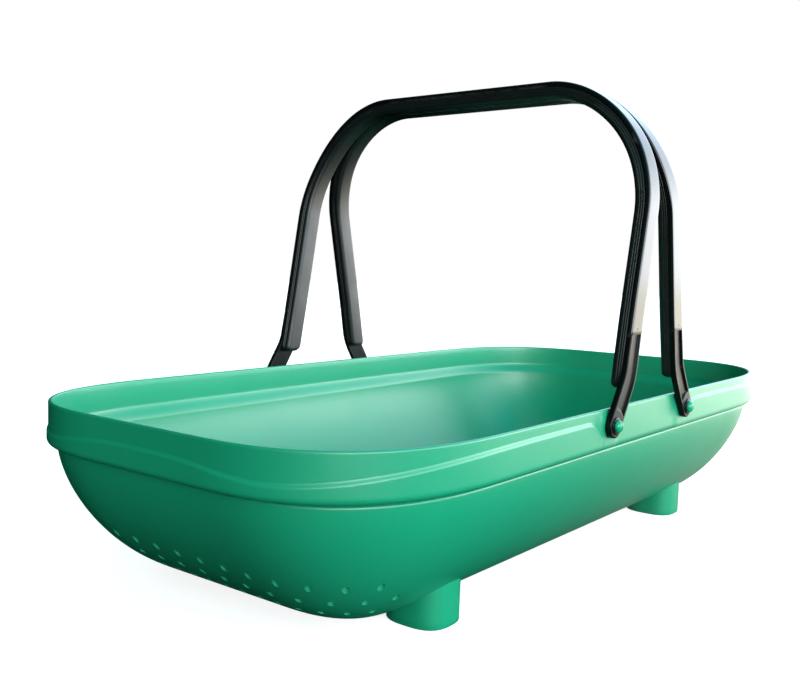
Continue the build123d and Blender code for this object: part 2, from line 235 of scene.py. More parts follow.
def body(z, inset=0.0, rise=0.0):
    """Outline of the body at height z; rise lifts the floor that the curve starts from."""
    low = FLOOR_Z + rise
    t = min(max((z - low) / (BODY_HIGH - low), 0.0), 1.0)
    end = (1 - (1 - t) ** END_BULGE) ** (1 / END_BULGE)
    side = (1 - (1 - t) ** SIDE_BULGE) ** (1 / SIDE_BULGE)
    top_corner_x = RIM_CORNER_X - BODY_CORNER_CUT
    top_corner_y = RIM_CORNER_Y - BODY_CORNER_CUT
    return (FLOOR_X + (BODY_X - FLOOR_X) * end - inset,
            FLOOR_Y + (BODY_Y - FLOOR_Y) * side - inset,
            FLOOR_CORNER_X + (top_corner_x - FLOOR_CORNER_X) * end - inset * 0.5,
            FLOOR_CORNER_Y + (top_corner_y - FLOOR_CORNER_Y) * side - inset * 0.5,
            FLOOR_POWER + (RIM_POWER - FLOOR_POWER) * end)


def body_ring(z, inset=0.0, rise=0.0):
    ring = full_ring(quarter_ring(*body(z, inset, rise)))
    return np.hstack([ring, np.full((len(ring), 1), z)])


def body_heights(low, high, count):
    """Heights that bunch up towards the floor."""
    return low + np.linspace(0, 1, count) ** 1.9 * (high - low)


RIM_QUARTER = quarter_ring(RIM_X, RIM_Y, RIM_CORNER_X, RIM_CORNER_Y, RIM_POWER)
RIM = full_ring(RIM_QUARTER)
ABS_X = np.abs(RIM[:, 0])
ON_SIDE = np.abs(RIM[:, 1]) > RIM_Y - 0.01
RIM_TANGENT = np.roll(RIM, -1, 0) - np.roll(RIM, 1, 0)
RIM_TANGENT /= np.linalg.norm(RIM_TANGENT, axis=1)[:, None]
RIM_NORMAL = np.stack([RIM_TANGENT[:, 1], -RIM_TANGENT[:, 0]], 1)


def rim_ring(offset, z):
    """Rim outline moved outward; offset and z may vary round the ring."""
    offset, z = (np.broadcast_to(v, len(RIM)).reshape(-1, 1) for v in (offset, z))
    return np.hstack([RIM + RIM_NORMAL * offset, z])


# ------------------------------------------------------------------ rim band
# rim length from the middle of an end, share of the band height above the swell's ledge
LEDGE_KNOTS = [(0, 0.47), (38, 0.49), (62, 0.60), (86, 0.69), (118, 0.61), (150, 0.47),
               (182, 0.35), (215, 0.285), (260, 0.265), (345, 0.255), (700, 0.255)]


def ledge_shares():
    """The knots' line, averaged over a short window and mirrored round the ring."""
    runs, shares = zip(*LEDGE_KNOTS)
    window = np.linspace(-14, 14, 15)
    quarter = np.array([np.mean(np.interp(run + window, runs, shares))
                        for run in run_along(RIM_QUARTER)])
    return np.tile(np.concatenate([quarter[:-1], quarter[:0:-1]]), 2)


def pad_offset(z):
    """Raised pad of the band behind each hinge eye."""
    across = 1 - smooth((np.abs(ABS_X - PIVOT_X) - 6.5) / 8.5)
    upward = (1 - smooth((z - 111.5) / 6.0)) * smooth((z - 92.0) / 2.0)
    return np.where(ON_SIDE, PAD_RISE * across * upward, 0.0)


def band_outer_rings():
    """Outside of the band from the lower lip up and over the rounded rim edge."""
    # beside the hinge the ledge runs down to the lip in a curve, and the swell fades
    fade = (SWELL_START - ABS_X) / (SWELL_START - SWELL_STOP)
    fade = np.where(ON_SIDE, np.clip(fade, 0, 1), 0.0)
    ledge = RIM_Z - ledge_shares() * BAND
    drop = 1 - np.sqrt(np.clip(1 - fade ** 2, 0, 1))
    ledge = ledge - drop * (ledge - (BAND_LOW + 3.5))
    live = np.where(ON_SIDE & (ABS_X < SWELL_STOP), 0.0, 1.0)
    live = live * (1 - smooth((fade - 0.72) / 0.28))

    def outer_offset(z):
        offset = SWELL * (1 - smooth((z - (ledge - 1.5)) / 2.6)) * live
        roll = np.clip((BAND_LOW + LIP_R - z) / LIP_R, 0, 1)
        offset = offset - LIP_DEPTH * (1 - np.sqrt(np.clip(1 - roll ** 2, 0, 1)))
        return offset + pad_offset(z)

    # heights of the lip, the swell, the ledge's slope and the plain band above it
    lip_top = BAND_LOW + LIP_H
    slope_low = np.maximum(ledge - 1.9, lip_top + 0.6)
    slope_h = 3.4
    slope_top = slope_low + slope_h
    levels = [BAND_LOW + f * LIP_H for f in (0.0, 0.04, 0.1, 0.2, 0.32, 0.46, 0.62, 0.8, 1.0)]
    levels += [lip_top + (slope_low - lip_top) * f for f in (0.25, 0.5, 0.75)]
    levels += [slope_low + slope_h * f for f in np.linspace(0, 1, 9)]
    levels += [slope_top + (RIM_Z - RIM_EDGE_H - slope_top) * f
               for f in (0.12, 0.26, 0.42, 0.6, 0.8, 0.95)]
    rings = [rim_ring(outer_offset(z), z) for z in levels]
    edge_r = SHELL / 2
    for angle in np.radians(np.linspace(0, 180, 11)):
        rings.append(rim_ring(-edge_r + edge_r * math.cos(angle),
                              RIM_Z - RIM_EDGE_H + RIM_EDGE_H * math.sin(angle)))
    return rings


# ------------------------------------------------------------------ tub shell
FLOOR_SHARES = (0.02, 0.1, 0.25, 0.45, 0.65, 0.82, 0.94)
# height, inset of the narrow groove beneath the lip
GROOVE = [(90.7, 0.1), (91.2, 0.45), (91.7, 1.0), (92.15, 1.45), (92.58, 1.65)]
# heights down the inside of the band and over the shoulder into the body
SHOULDER_LEVELS = (RIM_Z - 5, RIM_Z - 12, 102.0, 101.0, 100.2, 99.4, 98.6, 97.8, 97.0, 96.2,
                   95.4, 94.6, 93.8, 93.0, 92.2, 91.4, 90.9)
OUTER_TOP, INNER_TOP = 90.3, 90.6           # plain body rings stop here, outside and inside


def floor_rings(ring, shares):
    """Copies of a ring shrunk towards the middle of the floor."""
    return [ring * (f, f, 1) for f in shares]


def shell():
    # underside of the floor from the middle out, then up the outside
    rings = floor_rings(body_ring(FLOOR_Z), FLOOR_SHARES)
    rings += [body_ring(z) for z in body_heights(FLOOR_Z, BODY_HIGH, 46) if z <= OUTER_TOP]
    rings += [body_ring(z, inset) for z, inset in GROOVE]
    rings += band_outer_rings()
    for z in SHOULDER_LEVELS:
        share = float(smooth((101.3 - z) / 10.2))
        ring = rim_ring(-BAND_INSET, z) * (1 - share) + body_ring(z, SHELL, SHELL) * share
        ring[:, 2] = z
        rings.append(ring)
    # down the inside and in to the middle of the floor
    rings += [body_ring(z, SHELL, SHELL)
              for z in body_heights(FLOOR_Z + SHELL, BODY_HIGH, 44)[::-1] if z <= INNER_TOP]
    rings += floor_rings(rings[-1], FLOOR_SHARES[::-1])
    return skin("tub_shell", rings)


# ------------------------------------------------------------------ feet, drain holes, bores
# height, outward growth: a rounded lower edge and a slight flare upward
FOOT_PROFILE = [(0.0, -1.0), (0.15, -0.55), (0.5, -0.2), (1.0, 0.0), (4, 0.02),
                (9, 0.05), (14, 0.1), (20, 0.15), (26, 0.2), (31, 0.25)]


def foot_ring(x, y, growth, z, count=72):
    half_x, half_y = FOOT_HALF_X + growth, FOOT_HALF_Y + growth
    ring = []
    for k in range(count):
        angle = 2 * math.pi * k / count
        cos, sin = math.cos(angle), math.sin(angle)
        ring.append((x + half_x * math.copysign(abs(cos) ** (2 / FOOT_POWER), cos),
                     y + half_y * math.copysign(abs(sin) ** (2 / FOOT_POWER), sin), z))
    return ring


def feet():
    """Four posts, cut so that they stay out of the inside of the tub."""
    posts = join([skin("foot", [foot_ring(sx * FOOT_X, sy * FOOT_Y, growth, z)
                                for z, growth in FOOT_PROFILE])
                  for sx in SIGNS for sy in SIGNS])
    mid_wall = SHELL / 2
    blank = skin("blank", [body_ring(z, mid_wall, mid_wall)
                           for z in body_heights(FLOOR_Z + mid_wall, 60, 18)])
    boolean(posts, blank, "DIFFERENCE")
    return posts


def foot_pockets():
    """Four pockets under each foot, which leave a cross web between them."""
    half_x, half_y = FOOT_HALF_X - FOOT_WALL, FOOT_HALF_Y - FOOT_WALL
    arc = corner_arc(half_x, half_y, half_x, half_y, FOOT_POWER, 12)
    outline = [(WEB_HALF, WEB_HALF)] + [(max(x, WEB_HALF), max(y, WEB_HALF)) for x, y in arc]
    return join([skin("pocket", [[(sx * FOOT_X + qx * x, sy * FOOT_Y + qy * y, z)
                                  for x, y in outline] for z in (-1.0, POCKET_TOP)])
                 for sx in SIGNS for sy in SIGNS for qx in SIGNS for qy in SIGNS])


def hole_places():
    """Drain holes in three rows round the -X end."""
    places = []
    for z, pitch, first, reach in HOLE_ROWS:
        half_x, half_y, corner_x, corner_y, power = body(z)
        step = 0.5
        walk = [(half_x, k * step) for k in range(int((half_y - corner_y) / step) + 1)]
        walk += corner_arc(half_x, half_y, corner_x, corner_y, power, 360).tolist()
        for side in SIGNS:
            wanted = [first * side + k * pitch for k in range(-1, 12)]
            wanted = [w for w in wanted if 0 < w < reach]
            run, previous = 0.0, walk[0]
            for point in walk:
                run += math.dist(point, previous)
                previous = point
                while wanted and run >= wanted[0]:
                    places.append((-point[0], side * point[1]))
                    wanted.pop(0)
    return places


def drain_hole_tool(low=14.0, high=62.0, count=20):
    """Upright cylinders, all in one mesh."""
    verts, faces = [], []
    for x, y in hole_places():
        base = len(verts)
        for z in (low, high):
            for k in range(count):
                angle = 2 * math.pi * k / count
                verts.append((x + HOLE_R * math.cos(angle), y + HOLE_R * math.sin(angle), z))
        faces.append(tuple(base + k for k in reversed(range(count))))
        faces.append(tuple(base + count + k for k in range(count)))
        for k in range(count):
            k2 = (k + 1) % count
            faces.append((base + k, base + k2, base + count + k2, base + count + k))
    return make_obj("tool", verts, faces)


def pin_bores():
    """Blind holes for the pivot pins, from the outside."""
    return join([skin("bore", [y_circle(sx * PIVOT_X, PIVOT_Z, PIN_R, sy * y, 28)
                               for y in (PIN_TIP_Y, 152.0)])
                 for sx in SIGNS for sy in SIGNS])


def build_tub():
    ob = shell()
    boolean(ob, feet(), "UNION")
    for make_tool in (foot_pockets, drain_hole_tool, pin_bores):
        boolean(ob, make_tool(), "DIFFERENCE")
    mark_sharp(ob, 38)
    return ob


# ------------------------------------------------------------------ handle paths
def centre_x(z):
    """Centre line of a handle seen from the front, and its lean: upright above the bend."""
    angle = math.atan(LEAN)
    cut = BEND_R * math.tan(angle / 2)
    arc_top, arc_low = BEND_Z + cut, BEND_Z - cut * math.cos(angle)
    if z >= arc_top:
        return UPRIGHT_X, 0.0
    if z >= arc_low:
        root = math.sqrt(BEND_R * BEND_R - (arc_top - z) ** 2)
        return UPRIGHT_X + BEND_R - root, (arc_top - z) / root
    return KNEE_X + (KNEE_Z - z) * LEAN, LEAN


def handle_point(side, y, z, across):
    """Point at (y, z) on the arch; side -1 is the left handle."""
    x, lean = centre_x(z)
    return (side * (x + across * math.sqrt(1 + lean * lean)), y, z)


def half_path(low):
    """(y, z) of the outer outline from a leg's lower end to the middle of the top, +Y half."""
    count = max(4, int((LEG_TOP_Z - low) / 3.5))
    points = [(LEG_Y, z) for z in np.linspace(low, LEG_TOP_Z, count)[:-1]]
    for t in np.linspace(0, 1, 19)[:-1]:
        ease = smooth(t) * 0.35 + t * 0.65
        points.append((LEG_Y + (SHOULDER_Y - LEG_Y) * ease,
                       LEG_TOP_Z + (SHOULDER_Z - LEG_TOP_Z) * t))
    fine = corner_arc(SHOULDER_Y, ARCH_Z, SHOULDER_Y - ARCH_FLAT, ARCH_Z - SHOULDER_Z,
                      ARCH_POWER, 240)
    points += even_steps(fine, 48)
    points += [(ARCH_FLAT * (1 - k / 10), ARCH_Z) for k in range(1, 11)]
    return np.array(points)


def sweep(name, side, low, profile, end_steps=()):
    """Carries a (depth, across) profile over the arch; end_steps add rings near its ends."""
    half = half_path(low)
    on_leg = half[:, 1] < LEG_TOP_Z - 0.1
    extra = np.reshape([(LEG_Y, low + step) for step in end_steps], (-1, 2))
    leg = np.vstack([half[on_leg], extra])
    half = np.vstack([leg[np.argsort(leg[:, 1], kind="stable")], half[~on_leg]])
    # drop rings that nearly coincide with the one before
    half = half[np.append(True, np.hypot(*np.diff(half, axis=0).T) > 0.04)]
    full = np.vstack([half * [-1, 1], half[::-1][1:]])
    tangent = np.gradient(full, axis=0)
    tangent /= np.linalg.norm(tangent, axis=1)[:, None]
    straight = full[:, 1] < LEG_TOP_Z - 0.5
    tangent[straight & (full[:, 0] < 0)] = (0, 1)
    tangent[straight & (full[:, 0] > 0)] = (0, -1)
    inward = np.stack([tangent[:, 1], -tangent[:, 0]], 1)
    return skin(name, [[handle_point(side, y + depth * in_y, z + depth * in_z, across)
                        for depth, across in profile(z - low)]
                       for (y, z), (in_y, in_z) in zip(full, inward)])


# ------------------------------------------------------------------ handle profiles
# Each takes the height above the lower end and gives (depth, across) points.
def cover_profile(height):
    radius, steps = 1.1, 6
    back = COVER_D - 0.08
    arc = []
    for k in range(steps + 1):
        angle = math.radians(90 * k / steps)
        arc.append((radius - radius * math.sin(angle),
                    HALF_W - radius + radius * math.cos(angle)))
    points = arc + [(-0.02, across) for across in (5.0, 2.5, 0.0, -2.5, -5.0)]
    points += [(depth, -across) for depth, across in reversed(arc)]
    points += [(back, -HALF_W + 0.05), (back, HALF_W - 0.05)]
    # the outer face sinks a little at the very end
    sink = 0.2 * (1 - min(height, 0.3) / 0.3)
    return [(min(depth + (sink if depth < back - 0.3 else 0), back), across)
            for depth, across in points]


def frame_profile(height):
    radius = 0.3
    across = HALF_W - 0.14 - radius
    front, back = COVER_D + radius, FRAME_D - radius
    points = []
    for depth, middle, start in ((front, across, 0), (back, across, 90),
                                 (back, -across, 180), (front, -across, 270)):
        for k in range(4):
            angle = math.radians(start + 30 * k)
            points.append((depth - radius * math.cos(angle), middle + radius * math.sin(angle)))
    return points


def grip_profile(height):
    end_r, back_end_r = 5.0, 2.6            # rounding of the ends across and in depth
    inner_r, outer_r = 2.9, 0.4             # rounding of the long edges
    full = HALF_W - 0.1
    front, back = FRAME_D + 0.07, GRIP_D
    across = full
    if height < end_r:
        across = full - end_r + math.sqrt(max(end_r ** 2 - (end_r - height) ** 2, 0.0))
    if height < back_end_r:
        root = math.sqrt(max(back_end_r ** 2 - (back_end_r - height) ** 2, 0.0))
        back = GRIP_D - back_end_r + root
    points = []
    for k in range(4):
        angle = math.radians(90 * k / 3)
        points.append((front + outer_r - outer_r * math.cos(angle),
                       across - outer_r + outer_r * math.sin(angle)))
    # two fine grooves along each side face
    for groove in (5.3, 6.9):
        points += [(groove + shift, across - cut)
                   for shift, cut in ((-0.32, 0), (-0.12, 0.25), (0.12, 0.25), (0.32, 0))]
    radius = min(inner_r, back - 7.3)
    for k in range(9):
        angle = math.radians(90 * k / 8)
        points.append((back - radius + radius * math.sin(angle),
                       across - radius + radius * math.cos(angle)))
    return points + [(depth, -w) for depth, w in reversed(points)]


# ------------------------------------------------------------------ lower legs
def leg_line():
    """Centre line in (x, z) from the pivot round the knee to the cover, with its tangents."""
    pivot, knee = np.array([PIVOT_X, PIVOT_Z]), np.array([KNEE_X, KNEE_Z])
    low_dir = knee - pivot
    low_run = np.linalg.norm(low_dir)
    low_dir = low_dir / low_run
    top_dir = np.array([-LEAN, 1.0]) / math.hypot(LEAN, 1.0)
    turn = math.acos(float(low_dir @ top_dir))
    cut = KNEE_R * math.tan(turn / 2)
    arc_low, arc_top = knee - low_dir * cut, knee + top_dir * cut
    centre = arc_low + np.array([low_dir[1], -low_dir[0]]) * KNEE_R

    def turned(vector, angle):
        cos, sin = math.cos(angle), math.sin(angle)
        return np.array([vector[0] * cos - vector[1] * sin, vector[0] * sin + vector[1] * cos])

    # finer stations round the eye
    steps = np.concatenate([np.arange(0, 12.5, 0.45), np.arange(12.7, low_run - cut - 0.3, 1.6)])
    line = [(pivot + low_dir * step, low_dir) for step in steps]
    for k in range(13):
        angle = -turn * k / 12
        line.append((centre + turned(arc_low - centre, angle), turned(low_dir, angle)))
    length = (COVER_Z - arc_top[1]) / top_dir[1]
    line += [(arc_top + top_dir * step, top_dir) for step in np.linspace(0, length, 14)[1:]]
    points, tangents = zip(*line)
    return np.array(points), np.array(tangents)


LEG_POINTS, LEG_TANGENTS = leg_line()
# places across the leg, as shares of its half width
HALF_COLUMNS = np.array([1, 0.9975, 0.988, 0.972, 0.95, 0.92, 0.88, 0.84, 0.80, 0.765,
                         0.735, 0.705, 0.68, 0.66, 0.635, 0.60, 0.5, 0.36, 0.18])
COLUMNS = np.concatenate([-HALF_COLUMNS, [0.0], HALF_COLUMNS[::-1]])
# degrees round the leg's lower end, from its tip up to the pivot
EYE_ANGLES = np.concatenate([[88.5, 84, 79], np.arange(74, 3, -4.5)])


def leg_height(across, along):
    """Height of the outer face over the inner; the middle is recessed above the eye."""
    edge_r, recess = 0.9, 1.5
    from_edge = HALF_W - (abs(across) if along >= 0 else math.hypot(across, along))
    height = FRAME_D
    if from_edge < edge_r:
        height -= edge_r - math.sqrt(max(edge_r ** 2 - (edge_r - max(from_edge, 0.0)) ** 2, 0.0))
    in_border = float(smooth((from_edge - 1.75) / 0.75))
    past_eye = float(smooth((along - 9.0 - 1.2 * (1 - (abs(across) / 5.5) ** 2)) / 1.3))
    return height - recess * in_border * past_eye


def lower_leg(side, sy):
    low_dir = LEG_TANGENTS[0]
    rows = []
    for angle in np.radians(EYE_ANGLES):
        along = -HALF_W * math.sin(angle)
        rows.append((LEG_POINTS[0] + low_dir * along, low_dir, HALF_W * math.cos(angle), along))
    runs = run_along(LEG_POINTS)
    rows += [(point, tangent, HALF_W, along)
             for point, tangent, along in zip(LEG_POINTS, LEG_TANGENTS, runs)]
    rings = []
    for point, tangent, half, along in rows:
        normal = np.array([tangent[1], -tangent[0]])
        outline = [(c * half, leg_height(c * half, along)) for c in COLUMNS]
        outline += [(half, 0.25)]
        outline += [(c * half, 0.0) for c in (0.985, 0.6, 0.0, -0.6, -0.985)]
        outline += [(-half, 0.25)]
        # the last rows are levelled so that the leg ends square under the cover
        level = float(smooth((along - (runs[-1] - 20.0)) / 20.0))
        rings.append([(side * (point[0] + normal[0] * across),
                       sy * (LEG_Y - FRAME_D + height),
                       point[1] + normal[1] * across * (1 - level))
                      for across, height in outline])
    leg = skin("leg", rings)
    # raised boss round the eye, with a rounded edge: radius, distance out from the leg face
    boss = [(EYE_BOSS_R, -1.0), (EYE_BOSS_R, 0.3), (5.52, 0.48), (5.35, 0.62),
            (5.1, EYE_BOSS_RISE)]
    boolean(leg, skin("boss", [y_circle(side * PIVOT_X, PIVOT_Z, radius, sy * (LEG_Y + out), 48)
                               for radius, out in boss]), "UNION")
    return leg


# ------------------------------------------------------------------ handles and pins
def cover_marks(side):
    """Small round dimple near each end of the cover."""
    marks = []
    for sy in SIGNS:
        x, _, z = handle_point(side, 0.0, COVER_Z + 3.6, 0.0)
        marks.append(skin("mark", [y_circle(x, z, 0.6, sy * y, 14)
                                   for y in (LEG_Y - 0.25, LEG_Y + 1.0)]))
    return join(marks)


def build_handle(side, label):
    cover = sweep(label + "_bail_cover_skin", side, COVER_Z + 0.08, cover_profile, (0.1, 0.3))
    boolean(cover, cover_marks(side), "DIFFERENCE")
    mark_sharp(cover, 40)
    arch = sweep(label + "_bail_frame_skin", side, COVER_Z - 1.0, frame_profile)
    for sy in SIGNS:
        boolean(arch, lower_leg(side, sy), "UNION")
    bore = skin("bore", [y_circle(side * PIVOT_X, PIVOT_Z, PIN_R + 0.06, y, 32)
                         for y in (-165, 165)])
    boolean(arch, bore, "DIFFERENCE")
    mark_sharp(arch, 38)
    grip = sweep(label + "_bail_grip_skin", side, GRIP_Z, grip_profile,
                 (0.06, 0.2, 0.45, 0.8, 1.2, 1.7, 2.2, 2.8, 3.5, 4.2, 5.0))
    mark_sharp(grip, 50)
    return {"cover": cover, "frame": arch, "grip": grip}


def build_pin(sx, sy, name):
    """Round pin with a domed, slotted head outside the leg's boss."""
    head_y = LEG_Y + EYE_BOSS_RISE + 0.1
    head_r, count = 4.1, 48
    # radius, y
    profile = [(0.0, PIN_TIP_Y), (2.2, PIN_TIP_Y), (2.45, PIN_TIP_Y + 0.25),
               (PIN_R, PIN_TIP_Y + 0.6), (PIN_R, head_y - 0.02), (3.8, head_y),
               (4.03, head_y + 0.12), (head_r, head_y + 0.4)]
    for k in range(1, 13):
        angle = math.pi / 2 * k / 12
        profile.append((head_r * math.cos(angle) if k < 12 else 0.0,
                        head_y + 0.5 + 3.0 * math.sin(angle)))
    verts, rows, faces = [], [], []
    for radius, y in profile:
        ring = y_circle(sx * PIVOT_X, PIVOT_Z, radius, sy * y, count if radius else 1)
        rows.append(range(len(verts), len(verts) + len(ring)))
        verts += ring
    for low, high in zip(rows[:-1], rows[1:]):
        for k in range(count):
            k2 = (k + 1) % count
            if len(low) == 1:
                faces.append((low[0], high[k], high[k2]))
            elif len(high) == 1:
                faces.append((low[k], low[k2], high[0]))
            else:
                faces.append((low[k], low[k2], high[k2], high[k]))
    pin = make_obj(name + "_skin", verts, faces)
    # upright slot across the head
    corners = ((-0.42, -9), (0.42, -9), (0.42, 9), (-0.42, 9))
    slot = skin("slot", [[(sx * PIVOT_X + x, sy * y, PIVOT_Z + z) for x, z in corners]
                         for y in (head_y + 2.3, head_y + 6)])
    boolean(pin, slot, "DIFFERENCE")
    mark_sharp(pin, 35)
    return pin


# ------------------------------------------------------------------ shader helpers
def empty_tree(owner):
    owner.use_nodes = True
    owner.node_tree.nodes.clear()
    return owner.node_tree


def add_node(tree, kind, inputs=None, **settings):
    """New node; inputs maps a socket to its value or to the output that feeds it."""
    node = tree.nodes.new("ShaderNode" + kind)
    for key, value in settings.items():
        setattr(node, key, value)
    for key, value in (inputs or {}).items():
        if isinstance(value, bpy.types.NodeSocket):
            tree.links.new(value, node.inputs[key])
        else:
            node.inputs[key].default_value = value
    return node


def noise(tree, vector, scale, detail, roughness=0.5):
    return add_node(tree, "TexNoise", {"Vector": vector, "Scale": scale, "Detail": detail,
                                       "Roughness": roughness}).outputs[0]


def map_range(tree, value, low, high, to_low=0.0, to_high=1.0, **settings):
    return add_node(tree, "MapRange", {"Value": value, "From Min": low, "From Max": high,
                                       "To Min": to_low, "To Max": to_high},
                    **settings).outputs[0]


def math_node(tree, operation, *values):
    return add_node(tree, "Math", dict(enumerate(values)), operation=operation).outputs[0]


def mix_color(tree, factor, first, second):
    return add_node(tree, "Mix", {0: factor, 6: first, 7: second}, data_type="RGBA").outputs[2]


# ------------------------------------------------------------------ plastics
def plastic(name, color, dark, rough, rough_var, grain, grain_scale, spec, edge_wear_and_highlight):
    """Moulded plastic; grain is the strength of the fine bump, and the last argument that of the
    lighter edges, which are partly rubbed wear and partly a painted highlight.
    """
    material = bpy.data.materials.new(name)
    tree = empty_tree(material)
    coords = add_node(tree, "TexCoord").outputs["Object"]
    # broad colour drift of the moulding
    drift = noise(tree, coords, scale=9.0, detail=3.0)
    drift = map_range(tree, drift, 0.3, 0.7, 0.15, 1.0)
    base = mix_color(tree, drift, (*dark, 1), (*color, 1))
    # lighter convex edges: partly rubbed wear, partly a painted highlight where the rims catch
    # the light
    pointiness = add_node(tree, "NewGeometry").outputs["Pointiness"]
    edge = map_range(tree, pointiness, 0.53, 0.62, 0.0, edge_wear_and_highlight)
    patches = noise(tree, coords, scale=160.0, detail=4.0)
    patches = map_range(tree, patches, 0.35, 0.7, 0.2, 1.0)
    worn_and_highlit = math_node(tree, "MULTIPLY", edge, patches)
    edge_wear_highlight_color = [min(1.0, c * 1.5 + 0.06) for c in color]
    base = mix_color(tree, worn_and_highlit, base, (*edge_wear_highlight_color, 1))
    # roughness: fine mottling and faint handling streaks
    mottle = noise(tree, coords, scale=55.0, detail=5.0, roughness=0.6)
    stretched = add_node(tree, "Mapping", {0: coords, "Scale": (6.0, 6.0, 260.0),
                                           "Rotation": (0.4, 0.9, 0.2)}).outputs[0]
    streaks = noise(tree, stretched, scale=7.0, detail=6.0, roughness=0.7)
    streaks = map_range(tree, streaks, 0.62, 0.74, 0.0, rough_var * 0.8)
    mottle = map_range(tree, mottle, 0.3, 0.7, rough - rough_var, rough + rough_var)
    roughness = math_node(tree, "ADD", mottle, streaks)
    # moulded eggshell grain, then the slow waviness of a large thin moulding
    eggshell = noise(tree, coords, scale=grain_scale, detail=3.0, roughness=0.55)
    fine = add_node(tree, "Bump", {"Height": eggshell, "Strength": grain, "Distance": 0.0003})
    waves = noise(tree, coords, scale=14.0, detail=1.0)
    wavy = add_node(tree, "Bump", {"Height": waves, "Strength": 0.12, "Distance": 0.002,
                                   "Normal": fine.outputs[0]})
    shader = add_node(tree, "BsdfPrincipled", {
        "Base Color": base, "Roughness": roughness, "Specular IOR Level": spec, "IOR": 1.5,
        "Normal": wavy.outputs[0]})
    add_node(tree, "OutputMaterial", {0: shader.outputs[0]})
    return material


def make_finishes():
    """Material and slot name for each kind of piece."""
    # the last setting of each finish lightens its edges: partly rubbed wear, partly a painted
    # highlight on the rims
    tub = plastic("tub_green_plastic", color=(0.009, 0.318, 0.160), dark=(0.007, 0.295, 0.148),
                  rough=0.32, rough_var=0.025, grain=0.22, grain_scale=900.0,
                  spec=0.68, edge_wear_and_highlight=0.25)
    pin = plastic("pin_green_plastic", color=(0.006, 0.36, 0.19), dark=(0.005, 0.33, 0.17),
                  rough=0.22, rough_var=0.03, grain=0.05, grain_scale=900.0,
                  spec=0.5, edge_wear_and_highlight=0.3)
    cover = plastic("cover_black_plastic", color=(0.006, 0.0062, 0.007),
                    dark=(0.004, 0.0042, 0.005), rough=0.13, rough_var=0.02,
                    grain=0.03, grain_scale=1200.0, spec=0.55, edge_wear_and_highlight=0.12)
    handle = plastic("handle_black_plastic", color=(0.0035, 0.0037, 0.004),
                     dark=(0.0025, 0.0027, 0.003), rough=0.33, rough_var=0.05,
                     grain=0.10, grain_scale=1100.0, spec=0.16, edge_wear_and_highlight=0.6)
    grip = plastic("grip_black_plastic", color=(0.0065, 0.0067, 0.0072),
                   dark=(0.0045, 0.0047, 0.0052), rough=0.40, rough_var=0.05,
                   grain=0.25, grain_scale=1400.0, spec=0.55, edge_wear_and_highlight=0.2)
    return {"tub": (tub, "tub_green"), "pin": (pin, "pin_green"),
            "cover": (cover, "cover_black"), "frame": (handle, "handle_black"),
            "grip": (grip, "grip_black")}


def kind_of(node_name):
    if node_name == "tub":
        return "tub"
    if node_name.startswith("pin"):
        return "pin"
    for kind in ("cover", "grip"):
        if node_name.endswith(kind):
            return kind
    return "frame"


def dress(ob, material):
    ob.data.materials.clear()
    ob.data.materials.append(material)


def register(ob, kind, carrier, node_name):
    """Dresses a piece, ties it to what carries it and hides the CAD piece it stands for."""
    material, slot = finishes[kind]
    dress(ob, material)
    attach(ob, carrier)
    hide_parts(node_name)


# ------------------------------------------------------------------ floor
def floor_material():
    """Pale to the camera, a cream glow in reflections, dim to all other rays."""
    material = bpy.data.materials.new("floor_pale")
    tree = empty_tree(material)
    coords = add_node(tree, "TexCoord").outputs["Object"]
    tint = mix_color(tree, noise(tree, coords, scale=3.0, detail=4.0),
                     (0.76, 0.76, 0.76, 1), (0.80, 0.80, 0.80, 1))
    pale = add_node(tree, "BsdfDiffuse", {0: tint})
    lift = add_node(tree, "Emission", {0: (1, 1, 1, 1), 1: 0.80})
    seen = add_node(tree, "AddShader", {0: pale.outputs[0], 1: lift.outputs[0]})
    dim = add_node(tree, "BsdfDiffuse", {0: (0.04, 0.042, 0.042, 1)})
    rays = add_node(tree, "LightPath").outputs
    # the glow grows towards the right and fades out towards the rear
    place = add_node(tree, "SeparateXYZ", {0: coords}).outputs
    rightward = map_range(tree, place[0], -0.15, 1.7, 0.0, 4.7, interpolation_type="SMOOTHSTEP")
    frontward = map_range(tree, place[1], 0.3, -0.3, interpolation_type="SMOOTHSTEP")
    strength = math_node(tree, "MULTIPLY", rightward, frontward)
    cream = add_node(tree, "Emission", {0: (1.0, 0.965, 0.81, 1), 1: strength})
    unseen = add_node(tree, "MixShader", {0: rays["Is Glossy Ray"], 1: dim.outputs[0],
                                          2: cream.outputs[0]})
    chosen = add_node(tree, "MixShader", {0: rays["Is Camera Ray"], 1: unseen.outputs[0],
                                          2: seen.outputs[0]})
    add_node(tree, "OutputMaterial", {0: chosen.outputs[0]})
    return material


def build_floor(half=6):
    material = floor_material()
    mesh = bpy.data.meshes.new("floor")
    mesh.from_pydata([(-half, -half, 0), (half, -half, 0), (half, half, 0), (-half, half, 0)],
                     [], [(0, 1, 2, 3)])
    ob = bpy.data.objects.new("floor", mesh)
    bpy.context.scene.collection.objects.link(ob)
    mesh.materials.append(material)


